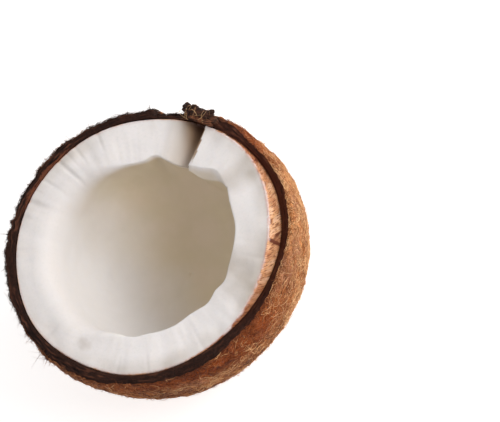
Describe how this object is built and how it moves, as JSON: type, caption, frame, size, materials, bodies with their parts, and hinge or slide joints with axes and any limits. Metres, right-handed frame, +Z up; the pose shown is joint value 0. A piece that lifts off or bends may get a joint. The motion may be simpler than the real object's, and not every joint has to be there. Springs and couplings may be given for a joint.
{
  "type": "coconut half",
  "caption": "Half of a cracked, dehusked coconut, open side up: thin hard shell with a coat of fibre, thick white flesh around a bowl-shaped cavity, a notch in the flesh.",
  "frame": {"origin": "middle of the footprint of the whole half, at the level it rests on", "axes": "+Z up out of the open side, +X towards the side where the flesh stands proud of the shell, the notch lies between +X and +Y"},
  "size_m": [0.1182, 0.1142, 0.0671],
  "materials": {
    "shell": "dull, fibrous",
    "flesh": "moist, satin",
    "husk": "dry fibre"
  },
  "bodies": {
    "root": {"shell": "shell", "flesh": "flesh", "husk_scrap": "husk"}
  },
  "joints": []
}
